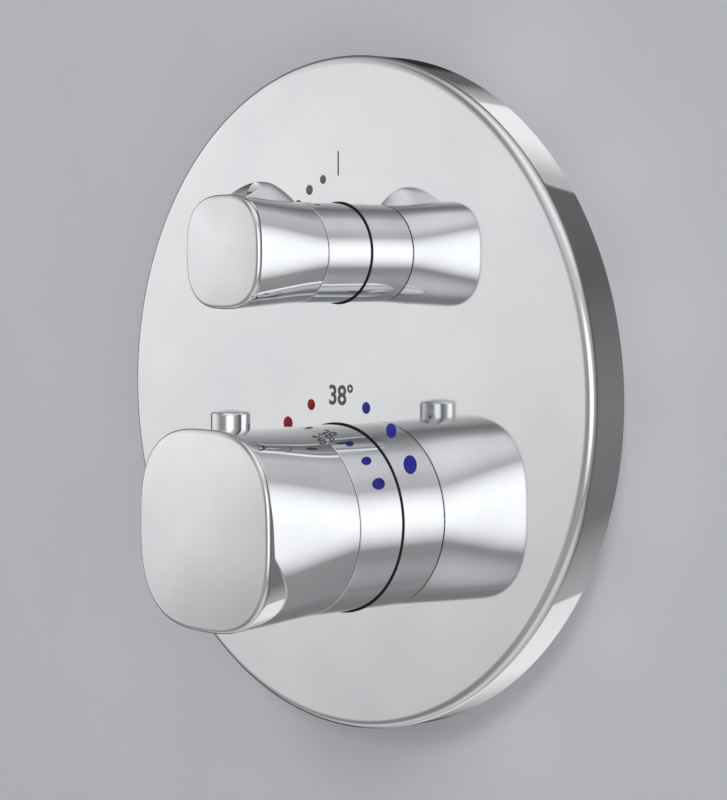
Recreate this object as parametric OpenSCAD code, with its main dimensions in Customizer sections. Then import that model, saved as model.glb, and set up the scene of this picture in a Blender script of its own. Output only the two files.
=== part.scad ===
// Concealed thermostatic shower valve with a flow handle, a temperature handle and a round plate.
// +X is right, +Z is up, and the finished wall is the XZ plane. Each turned piece is written on
// its own axis, where z is the distance out of the wall, so pieces behind the wall have z < 0.

/* [Escutcheon plate] */
// Diameter of the plate
plate_d = 170; // [160:1:190]
// Depth of the plate, from the wall to its front
plate_depth = 11; // [10:0.5:14]
// Thickness of the plate's metal
plate_wall = 2; // [1.6:0.1:2.4]
// Rounding of the plate's front edge
plate_edge_r = 2.4; // [1:0.1:3]
// Height of the flow handle's axis above the plate's centre
flow_up = 35.5; // [34:0.5:40]
// Distance of the temperature handle's axis below the plate's centre
temp_down = 31.5; // [30:0.5:36]

/* [Sleeves and seals] */
// Outer diameter of the flow sleeve
flow_sleeve_d = 25; // [24:0.2:26]
// Outer diameter of the temperature sleeve
temp_sleeve_d = 47.5; // [46:0.5:49]
// Wall of both sleeves
sleeve_wall = 1.4; // [1:0.1:1.6]
// Length of both sleeves in front of the plate
sleeve_reach = 14.3; // [13:0.1:17]
// Width of the black seal ring that shows round each sleeve
seal_w = 0.4; // [0.4:0.1:1]

/* [Flow handle] */
// Distance from the plate's front to the handle's face
flow_reach = 38.2; // [36:0.2:42]
// Width of the handle's face
flow_face_w = 27.8; // [26.5:0.1:32]
// Height of the handle's face
flow_face_h = 27.6; // [26.5:0.1:32]
// Length of the thumb fin
fin_l = 18.5; // [14:0.5:18.5]
// Height of the thumb fin
fin_h = 3.4; // [2:0.1:6]
// Width of the thumb fin at its root
fin_w = 6.6; // [5:0.1:9]

/* [Temperature handle] */
// Distance from the plate's front to the handle's face
temp_reach = 44.6; // [43:0.2:50]
// Width of the handle's face
temp_face_w = 49.3; // [48.5:0.1:54]
// Height of the handle's face
temp_face_h = 49.1; // [48.5:0.1:54]
// Wall of the hollow handle
temp_wall = 2.4; // [2:0.1:2.8]
// Diameter of the safety button
button_d = 9.6; // [8.4:0.2:10.6]
// Height of the safety button above the handle
button_rise = 4.4; // [3:0.1:5]
// Travel of the safety button
button_travel = 2.4; // [1.5:0.1:2.4]

/* [Valve body] */
// Depth of the valve body behind the finished wall
body_depth = 66; // [66:1:80]
// Distance between the mouths of the two inlets
inlet_span = 108; // [107:1:120]
// Height of the outlet's mouth above the flow handle's axis
outlet_rise = 37; // [35:1:50]
// Bore of the inlet and outlet threads, the minor diameter of G1/2
pipe_thread_d = 18.6; // [18.6:0.1:19]
// Length of the inlet and outlet threads
pipe_thread_l = 14; // [12:0.5:14.5]
// Bore for the thermostatic cartridge
cartridge_d = 38; // [37.4:0.1:38.4]
// Bore for the ceramic headwork
headwork_d = 28; // [27.6:0.1:29]
// Diameter of the four fixing holes
fixing_d = 6.5; // [5:0.5:8]
// Distance between the fixing holes, side to side
fixing_w = 84; // [82:1:92]
// Distance between the fixing holes, top to bottom
fixing_h = 52; // [50:1:54]

/* [Cartridge and headwork] */
// Diameter of the two ceramic discs
disc_d = 20; // [19:0.2:20.4]
// Thickness of each ceramic disc
disc_t = 3; // [2.5:0.1:3.2]
// Diameter of the flow spindle
flow_spindle_d = 8; // [7:0.1:8.4]
// Diameter of the temperature spindle
temp_spindle_d = 9.8; // [9:0.1:10]
// Diameter of the wax element's body
wax_d = 9; // [8:0.1:9.4]
// Opening travel of each check valve
check_travel = 2.4; // [1.5:0.1:2.4]

/* [Hidden] */
$fn = 72;

// Overrun of a cut past the face that it opens
cut = 0.5;
// Clearance between pieces that are fixed to each other
fit = 0.05;
// Radial clearance of shafts, slides and working threads
run = 0.06;
// Gap between pieces that pass each other
air = 0.3;

chrome = [0.84, 0.85, 0.87];
brass = [0.80, 0.66, 0.36];
steel = [0.68, 0.69, 0.71];
rubber = [0.09, 0.09, 0.10];
black_plastic = [0.15, 0.15, 0.16];
white_plastic = [0.90, 0.90, 0.87];
ceramic = [0.95, 0.94, 0.90];
copper = [0.78, 0.48, 0.32];

// Plate: radii, the step that takes the gasket, and the round edge
plate_r = plate_d / 2;
rim_inner_r = plate_r - plate_wall;
gasket_t = 1;
gasket_w = 1.9;
rebate_r = plate_r - plate_wall / 2;
plate_inside = plate_depth - plate_wall;
edge_steps = 6;

// Carrier behind the plate, its snap fingers and its two screws
carrier_out = 1;
carrier_t = 2.5;
carrier_rim_gap = 3;
carrier_hole_gap = 1;
carrier_r = rim_inner_r - carrier_rim_gap;
finger_w = 12;
finger_l = 2.5;
finger_front_gap = 1.5;
finger_rise = plate_inside - carrier_out - finger_front_gap;
finger_count = 6;
post_r = 5;
post_x = 30;
post_bore_r = 1.6;
post_bore_l = 12;
screw_r = 1.5;
screw_l = 10;
screw_head_r = 3.5;
screw_head_t = 2;
screw_cross_l = 4.2;
screw_cross_w = 0.9;
screw_cross_t = 1.2;

// Sleeves: radii, and where the turning handles begin
flow_sleeve_r = flow_sleeve_d / 2;
temp_sleeve_r = temp_sleeve_d / 2;
flow_sleeve_bore_r = flow_sleeve_r - sleeve_wall;
temp_sleeve_bore_r = temp_sleeve_r - sleeve_wall;
joint_out = plate_depth + sleeve_reach;
handle_out = joint_out + air;
sleeve_grip = 6;
seal_back_t = 1.5;
seal_flange_w = 3;
seal_proud = 0.2;

// Shape shared by both handles: round at the joint, a squircle at the face
round_power = 2;
squircle_power = 2.8;
bend_share = 0.6;
face_edge_r = 1.2;
handle_sides = 48;
flare_shares = [0, 0.1, 0.25, 0.4, 0.55, 0.7, 0.85, 1];
crown_shares = [1, 0.8, 0.55, 0.3];

// Flow handle: face, bore for the insert, grub screw, and the fin's outline as shares
flow_face_out = plate_depth + flow_reach;
flow_crown = 0.8;
flow_insert_r = 6.9;
flow_insert_out = 14.3;
flow_insert_l = 23.7;
flow_spigot_l = 6;
grub_r = 2;
grub_hex_r = 1.1;
grub_hex_l = 2.5;
flow_grub_l = 4.8;
flow_grub_reach = 22.8;
flow_grub_out = plate_depth + flow_grub_reach;
fin_setback = 5;
fin_root = 6;
fin_place_shares = [0, 0.1, 0.2, 0.35, 0.52, 0.66, 0.8, 0.9, 1];
fin_height_shares = [-0.06, 0.45, 0.74, 0.97, 0.99, 0.75, 0.35, -0.02, -0.42];
fin_width_shares = [1, 1, 1, 1, 0.97, 0.88, 0.72, 0.58, 0.42];
fin_section_shares = [[-1.25, 0.35], [-1.05, 0.49], [-0.81, 0.62], [-0.56, 0.8], [-0.28, 0.94], [0, 1],
                      [0.28, 0.94], [0.56, 0.8], [0.81, 0.62], [1.05, 0.49], [1.25, 0.35]];

// Spline of both spindles and inserts
spline_teeth = 20;
spline_tooth_h = 0.45;

// Temperature handle: face, boss, insert, grub screw and the button's guide
temp_face_out = plate_depth + temp_reach;
temp_crown = 1.5;
temp_inner_crown = 0.5;
temp_face_t = 3;
temp_spigot_l = 6;
temp_spigot_t = 2;
temp_boss_r = 11.5;
temp_insert_r = 8.4;
temp_insert_out = 12;
temp_insert_l = 30;
temp_rib_t = 2;
temp_grub_reach = 24;
temp_grub_out = plate_depth + temp_grub_reach;
temp_grub_l = 12;
temp_grub_boss_r = 4;
button_setback = 9.2;
button_out = temp_face_out - button_setback;
button_edge_r = 0.9;
button_spring_solid = 1.7;
guide_wall = 2.3;
guide_floor_t = 1.5;
guide_floor_up = 15;
stem_r = 2;
pawl_w = 6.4;
pawl_t = 3;
pawl_drop = air;
pawl_tip_out = 7;
pawl_heel = 3.2;
pawl_slot_side = 0.6;
button_top = temp_face_h / 2 + button_rise;
button_underside = guide_floor_up + guide_floor_t + button_spring_solid + button_travel;
pawl_top = guide_floor_up - pawl_drop;
pawl_bottom = pawl_top - pawl_t;
button_wire_r = 0.25;
button_spring_turns = 2.2;

// Stop ring on the cartridge's nose
stop_ring_r = 16;
stop_ring_t = 4.5;
lug_w = 3.5;
lug_angle = 26;
lug_gap = 0.4;

// Depths of what follows the body's depth, as shares of it
port_share = 0.5606;
seat_share = 0.697;
cart_rear_share = 0.788;
cart_shoulder_share = 0.44;
hot_groove_shares = [0.712, 0.606];
cold_groove_shares = [0.515, 0.409];
cart_oring_shares = [0.753, 0.56, 0.371];
hot_port_share = 0.66;
cold_port_share = 0.474;
shuttle_land_shares = [0.586, 0.535];
shuttle_web_shares = [0.606, 0.576];
wax_rear_share = 0.803;
wax_neck_share = 0.455;
nut_rear_share = 0.409;
nut_cavity_share = 0.121;
thread_rear_share = 0.242;
function deep(share) = -share * body_depth;

// Valve body: chambers, necks, passages, bosses and screw base
neck_setback = 2;
neck_out = -neck_setback;
body_wall = 5;
floor_t = 4;
temp_neck_l = 12;
flow_neck_l = 10;
flow_neck_wall = 3;
temp_neck_r = temp_sleeve_bore_r - fit;
temp_chamber_r = cartridge_d / 2 + body_wall;
flow_neck_r = headwork_d / 2 + flow_neck_wall;
flow_chamber_r = headwork_d / 2 + body_wall;
floor_out = -(body_depth - floor_t);
port_depth = -deep(port_share);
boss_wall = 4.7;
boss_r = pipe_thread_d / 2 + boss_wall;
seat_out = deep(seat_share);
seat_t = 4;
seat_hole_r = 6;
plenum_r = 9;
passage_r = 5;
passage_margin = 1;
passage_out = floor_out + passage_r + passage_margin;
outlet_passage_r = 7;
web_w = 20;
web_front_out = -30;
base_up = 16;
base_t = 5;
base_margin = 16;
base_corner_r = 8;

// Check valves and strainers in the inlets, measured from the cartridge's axis
pocket_r = 9;
pocket_wall = 3;
pocket_end = cartridge_d / 2 + pocket_wall;
port_r = 3;
port_side = 4.2;
port_step = 6.5;
check_l = 15.2;
check_wall = 1.4;
check_seat_t = 2.2;
check_seat_r = 5.2;
check_spider_t = 1.6;
check_spider_in = 2.2;
check_hole_r = 1.6;
check_hole_place = 5;
check_holes = 6;
check_end_gap = 0.4;
check_in = pocket_end + check_end_gap;
check_end = check_in + check_l;
check_spider_end = check_in + check_spider_in + check_spider_t;
poppet_r = 6.6;
poppet_t = 2;
poppet_stem_r = 1.2;
poppet_face = check_end - check_seat_t - fit;
poppet_back = poppet_face - poppet_t;
poppet_tip = pocket_end + check_travel + air;
check_wire_r = 0.3;
check_coil_r = 2.6;
check_turns = 5;
strainer_r = pocket_r - fit;
strainer_t = 1.5;
strainer_rim = 1.3;
mesh_t = 0.6;
mesh_hole_r = 0.7;
mesh_pitch = 2.7;

// Ceramic headwork, stacked out from its seat
thread_gap = 0.1;
headwork_r = headwork_d / 2 - thread_gap;
bottom_seal_t = 2.5;
bottom_seal_gap = 0.2;
bottom_seal_r = disc_d / 2 - bottom_seal_gap;
bottom_seal_bore_r = 6.6;
fixed_disc_out = seat_out + bottom_seal_t;
moving_disc_out = fixed_disc_out + disc_t;
spindle_base_out = moving_disc_out + disc_t;
spindle_base_t = 4;
headwork_shoulder_out = spindle_base_out + spindle_base_t + air;
headwork_tube_wall = 1.3;
headwork_tube_r = disc_d / 2 + fit + headwork_tube_wall;
headwork_thread_out = -21;
headwork_window_w = 10;
headwork_window_l = 6;
hex_r = 16.2;
hex_t = 5;
hex_front = neck_out + hex_t;
headwork_front = 12;
headwork_neck_r = flow_sleeve_bore_r - fit;
oring_wire_r = 0.85;
oring_groove_w = 2.2;
oring_lift = 0.07;
headwork_oring_out = -18;
disc_hole_r = 2.8;
disc_hole_place = 5.6;
tongue_w = 2.8;
tongue_t = 1;
tongue_l = 18;
flow_spindle_r = flow_spindle_d / 2;
flow_spindle_base_gap = 0.6;
flow_spindle_base_r = disc_d / 2 - flow_spindle_base_gap;
flow_spindle_tip = 33;
flow_spline_out = 13.6;
clip_t = 1;
clip_groove_t = 1.1;
clip_bite = 0.6;
clip_reach = 2.2;
clip_mouth_share = 0.7;
small_oring_r = 0.6;
flow_oring_out = 0;

// Thermostatic cartridge, from its rear end to its nose
cart_gap = 0.6;
cart_r = cartridge_d / 2 - cart_gap;
cart_rear = deep(cart_rear_share);
cart_front = -12;
cart_neck_r = 12.4;
cart_nose_r = 9;
cart_nose_front = 8;
cart_bore_r = 13.06;
cart_shoulder_out = deep(cart_shoulder_share);
nut_bore_r = 9.1;
spindle_shoulder_out = -5.7;
hot_groove = [for (share = hot_groove_shares) deep(share)];
cold_groove = [for (share = cold_groove_shares) deep(share)];
water_groove_t = 1.2;
cart_oring_outs = [for (share = cart_oring_shares) deep(share)];
cart_port_r = 2;
cart_port_count = 8;
hot_port_out = deep(hot_port_share);
cold_port_out = deep(cold_port_share);
gland_r = cartridge_d / 2 - thread_gap;
gland_bore_r = 12.6;
gland_front = -3;
gland_slot_w = 3;
gland_slot_t = 2;
retainer_t = 4;
retainer_hole_r = 5.6;
retainer_flow_r = 1.6;
retainer_flow_place = 10.2;
flow_hole_count = 6;
retainer_front = cart_rear + retainer_t;

// Shuttle, wax element and the springs that bear on them
hot_gap = 1.45;
cold_gap = 1.2;
shuttle_rear = retainer_front + hot_gap;
shuttle_front = cart_shoulder_out - cold_gap;
shuttle_land_r = cart_bore_r - run;
shuttle_r = 11.5;
shuttle_wall = 1.5;
shuttle_land = [for (share = shuttle_land_shares) deep(share)];
shuttle_web = [for (share = shuttle_web_shares) deep(share)];
web_hole_r = 1.8;
web_hole_place = 7.4;
wax_r = wax_d / 2;
wax_rear = deep(wax_rear_share);
wax_flange_r = 5.4;
wax_flange_t = 2.5;
wax_neck_r = 3;
wax_neck_out = deep(wax_neck_share);
wax_pin_r = 1.4;
return_wire_r = 0.6;
return_coil_r = 7.2;
return_turns = 4;

// Regulating nut with its overtravel cup, spring and clip
nut_out = deep(nut_rear_share);
nut_front = -11;
nut_l = nut_front - nut_out;
nut_r = 9;
nut_key_r = 10.5;
nut_key_w = 3;
nut_cavity_r = 5.6;
nut_cavity_l = -deep(nut_cavity_share);
nut_web_t = 1.5;
nut_web_hole_r = 3;
key_slot_r = 10.8;
key_slot_side = 0.2;
key_slot_front = -9;
cup_r = 5.4;
cup_t = 1.5;
cup_setback = 1.3;
over_clip_setback = 0.4;
over_clip_t = 0.8;
over_clip_bore_r = 3.2;
over_clip_r = 6;
over_clip_groove_side = 0.05;
over_wire_r = 0.45;
over_coil_r = 4.4;
over_turns = 3;
cup_out = nut_out + cup_setback;
over_spring_end = nut_out + nut_cavity_l;

// Temperature spindle
thread_r = 6;
thread_rear = deep(thread_rear_share);
collar_r = 8;
collar_rear = -9;
collar_front = -6;
temp_spindle_r = temp_spindle_d / 2;
temp_spindle_tip = 36;
temp_spline_out = 11.2;

// Sides and rings of the sprung wire
wire_sides = 6;
rings_per_turn = 8;

// The three axes, each with z out of the wall or away from the cartridge
module at_plate() { rotate([90, 0, 0]) children(); }
module at_flow() { translate([0, 0, flow_up]) rotate([90, 0, 0]) children(); }
module at_temp() { translate([0, 0, -temp_down]) rotate([90, 0, 0]) children(); }
module at_inlet(side) { translate([0, port_depth, -temp_down]) rotate([0, 90 * side, 0]) children(); }
module at_outlet() { translate([0, port_depth, flow_up]) children(); }
module at_post(side) { at_plate() translate([side * post_x, base_up, 0]) children(); }

// A cylinder from one height to another, and the tube with a bore
module rod(r, z0, z1) { translate([0, 0, z0]) cylinder(r = r, h = z1 - z0); }
module tube(r, bore_r, z0, z1) {
    difference() {
        rod(r, z0, z1);
        rod(bore_r, z0 - cut, z1 + cut);
    }
}

// A ring of round section
module torus(ring_r, wire_r, z) {
    translate([0, 0, z]) rotate_extrude() translate([ring_r, 0]) circle(r = wire_r, $fn = 32);
}

// Copies of the children round the axis
module around(count) { for (i = [0:count - 1]) rotate([0, 0, 360 * i / count]) children(); }

// Points on an arc, as [radius, height] pairs of a turned outline
function arc(x, y, r, from, to, steps) =
    [for (i = [0:steps]) let (a = from + (to - from) * i / steps) [x + r * cos(a), y + r * sin(a)]];

// Toothed outline of a spline
function spline(tip_r, root_r) =
    [for (i = [0:2 * spline_teeth - 1])
        let (r = i % 2 == 0 ? tip_r : root_r, a = 180 * i / spline_teeth)
        [r * cos(a), r * sin(a)]];

// Outline between an ellipse (power 2) and a squircle, at a height
function squircle(w, h, power, z) =
    [for (i = [0:handle_sides - 1])
        let (a = 360 * i / handle_sides, c = cos(a), s = sin(a))
        [w / 2 * sign(c) * pow(abs(c), 2 / power), h / 2 * sign(s) * pow(abs(s), 2 / power), z]];

// How far the handle has opened from round to square at a share of its length
function flare(share) = (1 - bend_share) * share + bend_share * share * share * (3 - 2 * share);

// Closed skin over a stack of outlines that all have the same number of points
module skin(rings) {
    sides = len(rings[0]);
    last = len(rings) - 1;
    points = [for (ring = rings) each ring];
    walls = [for (k = [0:last - 1]) for (i = [0:sides - 1])
        let (a = k * sides + i, b = k * sides + (i + 1) % sides)
        each [[a, a + sides, b], [b, a + sides, b + sides]]];
    floor = [[for (i = [0:sides - 1]) i]];
    roof = [[for (i = [sides - 1:-1:0]) last * sides + i]];
    polyhedron(points = points, faces = concat(floor, walls, roof), convexity = 6);
}

// Solid handle: flares from a round joint to a squircle, round edge and crowned face
module handle_form(joint_d, w, h, z0, z1, edge_r, crown, power) {
    flank = [for (s = flare_shares)
        let (k = flare(s))
        squircle(joint_d + (w - joint_d) * k, joint_d + (h - joint_d) * k,
                 round_power + (power - round_power) * k, z0 + (z1 - edge_r - z0) * s)];
    edge = [for (a = [30, 60])
        let (inset = 2 * edge_r * (1 - cos(a)))
        squircle(w - inset, h - inset, power, z1 - edge_r * (1 - sin(a)))];
    face = [for (s = crown_shares)
        squircle((w - 2 * edge_r) * s, (h - 2 * edge_r) * s, power, z1 + crown * (1 - s * s))];
    skin(concat(flank, edge, face));
}

// Wire of round section wound in one open coil between two heights
module coil(ring_r, wire_r, z0, z1, turns) {
    steps = ceil(turns * rings_per_turn);
    rise = z1 - z0 - 2 * wire_r;
    skin([for (k = [0:steps])
        let (a = 360 * turns * k / steps, z = z0 + wire_r + rise * k / steps)
        [for (i = [0:wire_sides - 1])
            let (b = 360 * i / wire_sides, r = ring_r + wire_r * cos(b))
            [r * cos(a), r * sin(a), z - wire_r * sin(b)]]]);
}

// Plate: a spun and polished brass shell with two holes
module escutcheon_plate() {
    color(chrome) at_plate() difference() {
        rotate_extrude() polygon(concat(
            [[rebate_r, 0], [plate_r, 0]],
            arc(plate_r - plate_edge_r, plate_depth - plate_edge_r, plate_edge_r, 0, 90, edge_steps),
            [[0, plate_depth], [0, plate_inside], [rim_inner_r, plate_inside],
             [rim_inner_r, gasket_t], [rebate_r, gasket_t]]));
        translate([0, flow_up, 0]) rod(flow_sleeve_r + seal_w + fit, 0, plate_depth + cut);
        translate([0, -temp_down, 0]) rod(temp_sleeve_r + seal_w + fit, 0, plate_depth + cut);
    }
}

// Foam ring in the step behind the rim, against the wall
module plate_gasket() {
    color(rubber) at_plate() tube(rebate_r - fit, rebate_r - gasket_w, 0, gasket_t - fit);
}

// Moulded carrier that the plate snaps on to
module plate_carrier() {
    color(black_plastic) at_plate() difference() {
        union() {
            rod(carrier_r, carrier_out, carrier_out + carrier_t);
            around(finger_count)
                translate([carrier_r - finger_l, -finger_w / 2, carrier_out])
                    cube([2 * finger_l, finger_w, finger_rise]);
        }
        translate([0, flow_up, 0]) rod(hex_r + carrier_hole_gap, 0, plate_depth);
        translate([0, -temp_down, 0]) rod(temp_sleeve_r + carrier_hole_gap, 0, plate_depth);
        for (side = [-1, 1]) translate([side * post_x, base_up, 0]) rod(screw_r + air, 0, plate_depth);
    }
}

module carrier_screws() {
    head_out = carrier_out + carrier_t;
    color(steel) for (side = [-1, 1]) at_post(side) difference() {
        union() {
            rod(screw_r, carrier_out - screw_l, head_out + fit);
            rod(screw_head_r, head_out, head_out + screw_head_t);
        }
        for (turn = [0, 90]) rotate([0, 0, turn])
            translate([-screw_cross_l / 2, -screw_cross_w / 2, head_out + screw_head_t - screw_cross_t])
                cube([screw_cross_l, screw_cross_w, screw_cross_t + cut]);
    }
}

module flow_sleeve() {
    color(chrome) at_flow() tube(flow_sleeve_r, flow_sleeve_bore_r, hex_front + air, joint_out);
}

module temp_sleeve() {
    color(chrome) at_temp() tube(temp_sleeve_r, temp_sleeve_bore_r, neck_out - sleeve_grip, joint_out);
}

// Lip seal between the plate and a sleeve, with its flange behind the plate
module lip_seal(sleeve_r) {
    back = plate_inside - seal_back_t;
    color(rubber) rotate_extrude() polygon([
        [sleeve_r + fit, back], [sleeve_r + seal_flange_w, back],
        [sleeve_r + seal_flange_w, plate_inside - fit], [sleeve_r + seal_w, plate_inside - fit],
        [sleeve_r + seal_w, plate_depth + seal_proud], [sleeve_r + fit, plate_depth + seal_proud]]);
}
module flow_seal() { at_flow() lip_seal(flow_sleeve_r); }
module temp_seal() { at_temp() lip_seal(temp_sleeve_r); }

// Thumb fin, as sections along the handle
module fin() {
    front = flow_face_out - fin_setback;
    top = flow_face_h / 2;
    skin([for (k = [len(fin_place_shares) - 1:-1:0])
        let (w = fin_w / 2 * fin_width_shares[k], h = fin_h * fin_height_shares[k],
             z = front - fin_l * fin_place_shares[k])
        concat([[w, top - fin_root, z]],
               [for (p = [len(fin_section_shares) - 1:-1:0])
                   [w * fin_section_shares[p][0],
                    top - fin_root / 2 + (h + fin_root / 2) * fin_section_shares[p][1], z]],
               [[-w, top - fin_root, z]])]);
}

// Cast handle for the flow, with a spigot inside the sleeve and a bore for its insert
module flow_handle() {
    color(chrome) at_flow() difference() {
        union() {
            handle_form(flow_sleeve_d, flow_face_w, flow_face_h, handle_out, flow_face_out,
                        face_edge_r, flow_crown, squircle_power);
            fin();
            rod(flow_sleeve_bore_r - air, handle_out - flow_spigot_l, handle_out + face_edge_r);
        }
        rod(flow_insert_r + fit, handle_out - flow_spigot_l - cut, flow_insert_out + flow_insert_l + air);
        translate([0, 0, flow_grub_out]) rotate([90, 0, 0])
            rod(grub_r + fit, flow_insert_r - cut, flow_face_h);
    }
}

// Splined adaptor pressed on the flow spindle
module flow_insert() {
    color(white_plastic) at_flow() difference() {
        rod(flow_insert_r, flow_insert_out, flow_insert_out + flow_insert_l);
        translate([0, 0, flow_insert_out - cut])
            linear_extrude(flow_spindle_tip + air - flow_insert_out + cut)
                polygon(spline(flow_spindle_r + fit, flow_spindle_r - spline_tooth_h + fit));
    }
}

// Hexagon socket grub screw that runs away from the axis
module grub_screw(start, length) {
    color(steel) rotate([90, 0, 0]) difference() {
        rod(grub_r, start, start + length);
        translate([0, 0, start + length - grub_hex_l])
            cylinder(r = grub_hex_r, h = grub_hex_l + cut, $fn = 6);
    }
}
module flow_grub_screw() {
    at_flow() translate([0, 0, flow_grub_out]) grub_screw(flow_insert_r + fit, flow_grub_l);
}
module temp_grub_screw() {
    at_temp() translate([0, 0, temp_grub_out]) grub_screw(temp_insert_r + fit, temp_grub_l);
}

// Hollow cast handle for the temperature, with the boss for its insert and the button's guide
module temp_handle() {
    spigot_r = temp_sleeve_bore_r - air;
    back = handle_out - temp_spigot_l;
    inside = temp_face_out - temp_face_t;
    skin_up = temp_face_h / 2 - temp_wall / 2;
    guide_r = button_d / 2 + guide_wall;
    color(chrome) at_temp() difference() {
        union() {
            difference() {
                handle_form(temp_sleeve_d, temp_face_w, temp_face_h, handle_out, temp_face_out,
                            face_edge_r, temp_crown, squircle_power);
                handle_form(temp_sleeve_d - 2 * temp_wall, temp_face_w - 2 * temp_wall,
                                temp_face_h - 2 * temp_wall, handle_out - cut, inside,
                            face_edge_r, temp_inner_crown, squircle_power);
            }
            tube(spigot_r, spigot_r - temp_spigot_t, back, handle_out + temp_wall);
            rod(temp_boss_r, back, inside + temp_face_t / 2);
            for (side = [0, 180]) rotate([0, 0, side])
                translate([temp_boss_r - cut, -temp_rib_t / 2, handle_out + temp_wall])
                    cube([temp_face_w / 2 - temp_wall / 2 - temp_boss_r, temp_rib_t,
                          inside - handle_out - temp_wall + cut]);
            translate([0, 0, temp_grub_out]) rotate([90, 0, 0])
                rod(temp_grub_boss_r, temp_boss_r - cut, temp_face_h / 2 - temp_wall);
            translate([0, 0, button_out]) rotate([-90, 0, 0]) rod(guide_r, guide_floor_up, skin_up);
        }
        rod(temp_insert_r + fit, back - cut, temp_insert_out + temp_insert_l + air);
        translate([-pawl_w / 2 - pawl_slot_side, 0, back - cut])
            cube([pawl_w + 2 * pawl_slot_side, guide_floor_up,
                  button_out + pawl_heel + pawl_slot_side - back + cut]);
        translate([0, 0, button_out]) rotate([-90, 0, 0]) {
            rod(button_d / 2 + 2 * fit, guide_floor_up + guide_floor_t, button_top);
            rod(stem_r + run, guide_floor_up - cut, guide_floor_up + guide_floor_t + cut);
        }
        translate([0, 0, temp_grub_out]) rotate([90, 0, 0])
            rod(grub_r + fit, temp_insert_r - cut, temp_face_h);
    }
}

module temp_insert() {
    color(white_plastic) at_temp() difference() {
        rod(temp_insert_r, temp_insert_out, temp_insert_out + temp_insert_l);
        translate([0, 0, temp_insert_out - cut])
            linear_extrude(temp_spindle_tip + air - temp_insert_out + cut)
                polygon(spline(temp_spindle_r + fit, temp_spindle_r - spline_tooth_h + fit));
    }
}

// Button with a stem that goes through the guide's floor
module safety_button() {
    color(chrome) at_temp() translate([0, 0, button_out]) rotate([-90, 0, 0]) rotate_extrude()
        polygon(concat(
            [[0, pawl_bottom], [stem_r, pawl_bottom], [stem_r, button_underside],
             [button_d / 2, button_underside]],
            arc(button_d / 2 - button_edge_r, button_top - button_edge_r, button_edge_r, 0, 90, edge_steps),
            [[0, button_top]]));
}

module button_spring() {
    coil_r = (stem_r + button_d / 2) / 2;
    color(steel) at_temp() translate([0, 0, button_out]) rotate([-90, 0, 0])
        coil(coil_r, button_wire_r, guide_floor_up + guide_floor_t + fit, button_underside - fit,
             button_spring_turns);
}

// Steel latch on the button's stem that reaches back to the stop ring
module stop_pawl() {
    color(steel) at_temp() difference() {
        translate([-pawl_w / 2, pawl_bottom, pawl_tip_out])
            cube([pawl_w, pawl_t, button_out + pawl_heel - pawl_tip_out]);
        translate([0, 0, button_out]) rotate([-90, 0, 0])
            rod(stem_r + fit, pawl_bottom - cut, pawl_top + cut);
    }
}

// Ring keyed to the cartridge's nose, with the lug that stops the pawl at 38 degrees
module stop_ring() {
    base = neck_out + fit;
    color(white_plastic) at_temp() difference() {
        union() {
            rod(stop_ring_r, base, base + stop_ring_t);
            rotate([0, 0, lug_angle]) translate([-lug_w / 2, pawl_bottom, base])
                cube([lug_w, pawl_t, pawl_tip_out - lug_gap - base]);
        }
        rod(cart_nose_r + fit, base - cut, base + stop_ring_t + cut);
    }
}

// Plate with rounded corners for the screw base
module base_outline() {
    w = fixing_w + base_margin;
    h = fixing_h + base_margin;
    square([w, h - 2 * base_corner_r], center = true);
    square([w - 2 * base_corner_r, h], center = true);
    for (x = [-1, 1]) for (y = [-1, 1])
        translate([x * (w / 2 - base_corner_r), y * (h / 2 - base_corner_r)]) circle(r = base_corner_r);
}

// Everything of the brass body before it is bored
module body_blank() {
    at_temp() {
        rod(temp_chamber_r, -body_depth, neck_out - temp_neck_l);
        rod(temp_neck_r, -body_depth, neck_out);
    }
    at_flow() {
        rod(flow_chamber_r, -body_depth, neck_out - flow_neck_l);
        rod(flow_neck_r, -body_depth, neck_out);
    }
    for (side = [-1, 1]) at_inlet(side) rod(boss_r, 0, inlet_span / 2);
    at_outlet() rod(boss_r, 0, outlet_rise);
    translate([-web_w / 2, -web_front_out, -temp_down])
        cube([web_w, body_depth + web_front_out, flow_up + temp_down]);
    at_plate() translate([0, base_up, -body_depth]) linear_extrude(base_t) base_outline();
    for (side = [-1, 1]) at_post(side) rod(post_r, -body_depth, carrier_out);
}

module valve_body() {
    color(brass) difference() {
        body_blank();
        at_temp() rod(cartridge_d / 2, floor_out, neck_out + cut);
        at_flow() {
            rod(headwork_d / 2, seat_out, neck_out + cut);
            rod(seat_hole_r, seat_out - seat_t - cut, seat_out + cut);
            rod(plenum_r, floor_out, seat_out - seat_t);
        }
        translate([0, -passage_out, -temp_down]) rod(passage_r, 0, flow_up + temp_down);
        for (side = [-1, 1]) at_inlet(side) {
            rod(pipe_thread_d / 2, inlet_span / 2 - pipe_thread_l, inlet_span / 2 + cut);
            rod(pocket_r, pocket_end, inlet_span / 2 - pipe_thread_l + cut);
            for (row = [-1, 1]) translate([row * port_side, -side * port_step, 0])
                rod(port_r, cartridge_d / 2 - pocket_wall, pocket_end + cut);
        }
        at_outlet() {
            rod(outlet_passage_r, 0, outlet_rise);
            rod(pipe_thread_d / 2, outlet_rise - pipe_thread_l, outlet_rise + cut);
        }
        at_plate() for (x = [-1, 1]) for (y = [-1, 1])
            translate([x * fixing_w / 2, base_up + y * fixing_h / 2, 0])
                rod(fixing_d / 2, -body_depth - cut, -body_depth + base_t + cut);
        for (side = [-1, 1]) at_post(side) rod(post_bore_r, carrier_out - post_bore_l, carrier_out + cut);
    }
}

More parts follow.
